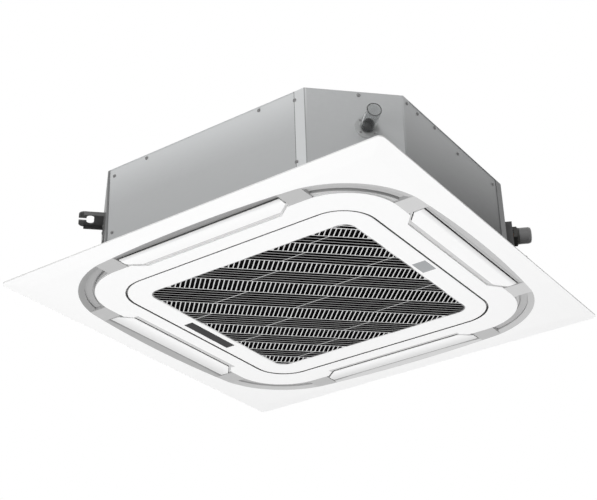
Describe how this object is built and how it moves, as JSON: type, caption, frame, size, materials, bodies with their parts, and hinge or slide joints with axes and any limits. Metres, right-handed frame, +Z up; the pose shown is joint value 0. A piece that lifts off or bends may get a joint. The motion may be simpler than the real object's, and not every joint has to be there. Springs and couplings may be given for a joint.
{
  "type": "ceiling cassette air conditioner",
  "caption": "Square ceiling cassette unit: steel body above the ceiling, white panel with louvred outlets round a swinging intake grille, turbo fan, coil and drain inside.",
  "frame": {"origin": "on the fan axis, level with the undersides of the hanger plates", "axes": "+Z up; +X towards the right side, where the pipe corner and the drain corner meet it; -Y towards the front side; the panel's face looks down at z = -0.145"},
  "size_m": [0.95, 0.95, 0.2204],
  "materials": {
    "zinc_steel": "zinc-coated sheet, faintly spangled",
    "dark_steel": "dark coated sheet",
    "bright_steel": "plain steel",
    "foam_black": "closed-cell foam",
    "foam_white": "expanded foam",
    "dark_plastic": "moulded, matt",
    "float_blue": "moulded",
    "rubber": "black rubber",
    "grey_flange": "moulded, matt",
    "clear_tube": "clear moulded tube",
    "fin_aluminium": "close fins",
    "copper": "copper tube",
    "brass_nut": "dulled brass",
    "cap_grey": "moulded caps",
    "fan_plastic": "moulded, matt",
    "board_green": "circuit board",
    "white_plastic": "satin white moulding",
    "grey_plastic": "matt grey moulding",
    "filter_plastic": "dark mesh in a moulded frame",
    "window_dark": "smoked window",
    "badge_grey": "plain plate"
  },
  "bodies": {
    "unit": {"top_plate": "zinc_steel", "corner_plate_drain": "zinc_steel", "corner_plate_pipe": "zinc_steel", "corner_plate_back": "zinc_steel", "corner_plate_left": "zinc_steel", "side_plate_front": "zinc_steel", "side_plate_right": "zinc_steel", "side_plate_back": "zinc_steel", "side_plate_left": "zinc_steel", "coil_end_plates": "zinc_steel", "control_box": "zinc_steel", "control_cover": "zinc_steel", "pump_bracket": "zinc_steel", "hanger_left": "dark_steel", "hanger_back": "dark_steel", "hanger_pipe": "dark_steel", "pipe_cover": "dark_steel", "casing_screws": "bright_steel", "foam_liner": "foam_black", "panel_gasket": "foam_black", "drain_pan": "foam_white", "drain_pump": "dark_plastic", "fan_motor": "dark_plastic", "catch_bodies": "dark_plastic", "louvre_motors": "dark_plastic", "drain_hose": "rubber", "motor_grommets": "rubber", "drain_flange": "grey_flange", "drain_stub": "clear_tube", "heat_exchanger": "fin_aluminium", "return_bends": "copper", "gas_pipe": "copper", "liquid_pipe": "copper", "flare_nuts": "brass_nut", "pipe_caps": "cap_grey", "bell_mouth": "fan_plastic", "control_board": "board_green", "panel_border": "white_plastic", "centre_frame": "white_plastic", "louvre_bushes": "white_plastic", "outlet_ring": "grey_plastic"},
    "fan": {"turbo_fan": "fan_plastic", "fan_shaft": "bright_steel", "fan_nut": "bright_steel"},
    "louvre_front_body": {"louvre_front": "white_plastic"},
    "louvre_back_body": {"louvre_back": "white_plastic"},
    "louvre_right_body": {"louvre_right": "white_plastic"},
    "louvre_left_body": {"louvre_left": "white_plastic"},
    "grille": {"intake_frame": "white_plastic", "hinge_pins": "bright_steel", "grille_lattice": "white_plastic", "filter_frame": "filter_plastic", "filter_mesh": "filter_plastic", "display_window": "window_dark", "receiver_board": "board_green", "badge_plate": "badge_grey"},
    "plunger_left": {"catch_plunger_left": "white_plastic"},
    "plunger_right": {"catch_plunger_right": "white_plastic"},
    "float": {"float_ring": "float_blue"}
  },
  "joints": [
    {"name": "fan_spin", "type": "hinge", "parent": "unit", "child": "fan", "pos_m": [0, 0, 0], "axis": [0, 0, 1], "continuous": true},
    {"name": "louvre_front_tilt", "type": "hinge", "parent": "unit", "child": "louvre_front_body", "pos_m": [0, -0.394, -0.139], "axis": [1, 0, 0], "range_deg": [0, 70]},
    {"name": "louvre_back_tilt", "type": "hinge", "parent": "unit", "child": "louvre_back_body", "pos_m": [0, 0.394, -0.139], "axis": [-1, 0, 0], "range_deg": [0, 70]},
    {"name": "louvre_right_tilt", "type": "hinge", "parent": "unit", "child": "louvre_right_body", "pos_m": [0.394, 0, -0.139], "axis": [0, 1, 0], "range_deg": [0, 70]},
    {"name": "louvre_left_tilt", "type": "hinge", "parent": "unit", "child": "louvre_left_body", "pos_m": [-0.394, 0, -0.139], "axis": [0, -1, 0], "range_deg": [0, 70]},
    {"name": "grille_swing", "type": "hinge", "parent": "unit", "child": "grille", "pos_m": [0, 0.303, -0.1414], "axis": [1, 0, 0], "range_deg": [0, 45]},
    {"name": "plunger_left_push", "type": "slide", "parent": "unit", "child": "plunger_left", "axis": [0, 0, 1], "range_m": [0, 0.003], "stiffness_N_per_m": 400, "springref_m": -0.002},
    {"name": "plunger_right_push", "type": "slide", "parent": "unit", "child": "plunger_right", "axis": [0, 0, 1], "range_m": [0, 0.003], "stiffness_N_per_m": 400, "springref_m": -0.002},
    {"name": "float_rise", "type": "slide", "parent": "unit", "child": "float", "axis": [0, 0, 1], "range_m": [0, 0.008]}
  ]
}
